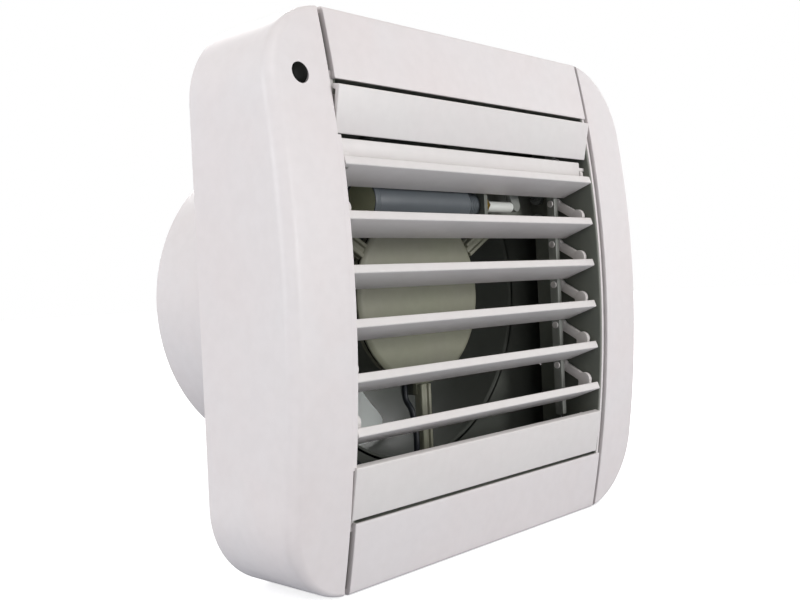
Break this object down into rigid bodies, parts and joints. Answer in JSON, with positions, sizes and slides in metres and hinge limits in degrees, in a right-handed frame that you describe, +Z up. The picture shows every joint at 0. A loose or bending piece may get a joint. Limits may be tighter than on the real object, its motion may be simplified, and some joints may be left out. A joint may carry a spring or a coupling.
{
  "type": "window exhaust fan",
  "caption": "Axial exhaust fan for a wall or window, with a rounded casing, automatic slatted louvre shutter and a round duct spigot.",
  "frame": {"origin": "on the duct's axis, in the wall plane: the casing's rear face", "axes": "+Y along the duct, away from the room; the louvred front faces -Y; +X to the right seen from the front; +Z up"},
  "size_m": [0.18, 0.1115, 0.171],
  "materials": {
    "casing_plastic": "fine satin moulding, warm white",
    "louvre_plastic": "satin moulding, warm white",
    "link_plastic": "smooth acetal, grey",
    "inner_plastic": "plain moulding, dark grey",
    "support_plastic": "olive-beige moulding",
    "impeller_plastic": "smooth white moulding",
    "actuator_plastic": "bluish grey sleeve",
    "bright_plastic": "smooth pale moulding",
    "spring_steel": "bright drawn wire",
    "zinc_steel": "bright zinc plate",
    "brass": "machined",
    "laminated_steel": "stacked laminations, dark varnish",
    "bobbin_plastic": "natural nylon",
    "copper": "enamelled copper wire",
    "rotor_aluminium": "cast",
    "bronze": "sintered bronze",
    "terminal_plastic": "pale grey moulding",
    "rubber": "black, matt",
    "board_green": "green solder mask",
    "black_gloss": "dark polished lens",
    "wire_blue": "blue insulation",
    "wire_brown": "brown insulation"
  },
  "bodies": {
    "root": {"front_cover": "casing_plastic", "louvre_frame": "casing_plastic", "stop_bar": "louvre_plastic", "fixed_slat_top": "louvre_plastic", "fixed_slat_bottom": "louvre_plastic", "return_spring": "spring_steel", "actuator_bracket": "inner_plastic", "bracket_screw_1": "zinc_steel", "bracket_screw_2": "zinc_steel", "bell_crank_screw": "zinc_steel", "actuator_body": "actuator_plastic", "actuator_cap": "bright_plastic", "actuator_nut": "brass", "back_housing": "casing_plastic", "motor_support": "support_plastic", "support_screw_1": "zinc_steel", "support_screw_2": "zinc_steel", "support_screw_3": "zinc_steel", "motor_cover": "support_plastic", "stator_core": "laminated_steel", "bobbin": "bobbin_plastic", "coil_winding": "copper", "front_bearing_bracket": "zinc_steel", "rear_bearing_bracket": "zinc_steel", "front_bush": "bronze", "rear_bush": "bronze", "motor_screw_1": "zinc_steel", "motor_screw_2": "zinc_steel", "terminal_block": "terminal_plastic", "terminal_screw_1": "brass", "terminal_screw_2": "brass", "terminal_screw_3": "brass", "cable_grommet": "rubber", "control_board": "board_green", "board_screw_1": "zinc_steel", "board_screw_2": "zinc_steel", "lamp_lens": "black_gloss", "pilot_led": "bright_plastic", "motor_lead": "wire_blue", "board_lead": "wire_brown", "actuator_lead": "rubber", "frame_screw_1": "zinc_steel", "frame_screw_2": "zinc_steel", "frame_screw_3": "zinc_steel", "frame_screw_4": "zinc_steel"},
    "louvre_1": {"louvre_blade_1": "louvre_plastic"},
    "louvre_2": {"louvre_blade_2": "louvre_plastic"},
    "louvre_3": {"louvre_blade_3": "louvre_plastic"},
    "louvre_4": {"louvre_blade_4": "louvre_plastic"},
    "louvre_5": {"louvre_blade_5": "louvre_plastic"},
    "louvre_6": {"louvre_blade_6": "louvre_plastic"},
    "tie_bar": {"tie_bar": "link_plastic"},
    "bell_crank": {"bell_crank": "link_plastic"},
    "plunger": {"actuator_plunger": "bright_plastic"},
    "impeller": {"impeller": "impeller_plastic", "impeller_nut": "brass", "motor_shaft": "zinc_steel", "rotor": "rotor_aluminium"}
  },
  "joints": [
    {"name": "louvre_1_hinge", "type": "hinge", "parent": "root", "child": "louvre_1", "pos_m": [0, -0.03325, 0.04258], "axis": [-1, 0, 0], "range_deg": [0, 59], "deforming": ["return_spring"]},
    {"name": "louvre_2_hinge", "type": "hinge", "parent": "root", "child": "louvre_2", "pos_m": [0, -0.03325, 0.02701], "axis": [-1, 0, 0], "range_deg": [0, 59]},
    {"name": "louvre_3_hinge", "type": "hinge", "parent": "root", "child": "louvre_3", "pos_m": [0, -0.03325, 0.01144], "axis": [-1, 0, 0], "range_deg": [0, 59]},
    {"name": "louvre_4_hinge", "type": "hinge", "parent": "root", "child": "louvre_4", "pos_m": [0, -0.03325, -0.00413], "axis": [-1, 0, 0], "range_deg": [0, 59]},
    {"name": "louvre_5_hinge", "type": "hinge", "parent": "root", "child": "louvre_5", "pos_m": [0, -0.03325, -0.0197], "axis": [-1, 0, 0], "range_deg": [0, 59]},
    {"name": "louvre_6_hinge", "type": "hinge", "parent": "root", "child": "louvre_6", "pos_m": [0, -0.03325, -0.03527], "axis": [-1, 0, 0], "range_deg": [0, 59]},
    {"name": "tie_bar_link", "type": "hinge", "parent": "louvre_1", "child": "tie_bar", "pos_m": [0.059, -0.02368, 0.04799], "axis": [-1, 0, 0], "range_deg": [-59, 0]},
    {"name": "bell_crank_pivot", "type": "hinge", "parent": "root", "child": "bell_crank", "pos_m": [0.038, -0.01845, 0.041], "axis": [0, 1, 0], "range_deg": [0, 42.35]},
    {"name": "plunger_slide", "type": "slide", "parent": "root", "child": "plunger", "axis": [-1, 0, 0], "range_m": [0, 0.00723]},
    {"name": "impeller_spin", "type": "hinge", "parent": "root", "child": "impeller", "pos_m": [0, 0, 0], "axis": [0, 1, 0], "continuous": true}
  ],
  "couplings": [
    {"joint": "louvre_2_hinge", "follows": "louvre_1_hinge", "ratio": 1},
    {"joint": "louvre_3_hinge", "follows": "louvre_1_hinge", "ratio": 1},
    {"joint": "louvre_4_hinge", "follows": "louvre_1_hinge", "ratio": 1},
    {"joint": "louvre_5_hinge", "follows": "louvre_1_hinge", "ratio": 1},
    {"joint": "louvre_6_hinge", "follows": "louvre_1_hinge", "ratio": 1},
    {"joint": "tie_bar_link", "follows": "louvre_1_hinge", "ratio": -1},
    {"joint": "bell_crank_pivot", "follows": "louvre_1_hinge", "ratio": 0.71757},
    {"joint": "plunger_slide", "follows": "louvre_1_hinge", "m_per_rad": 0.0070136}
  ]
}
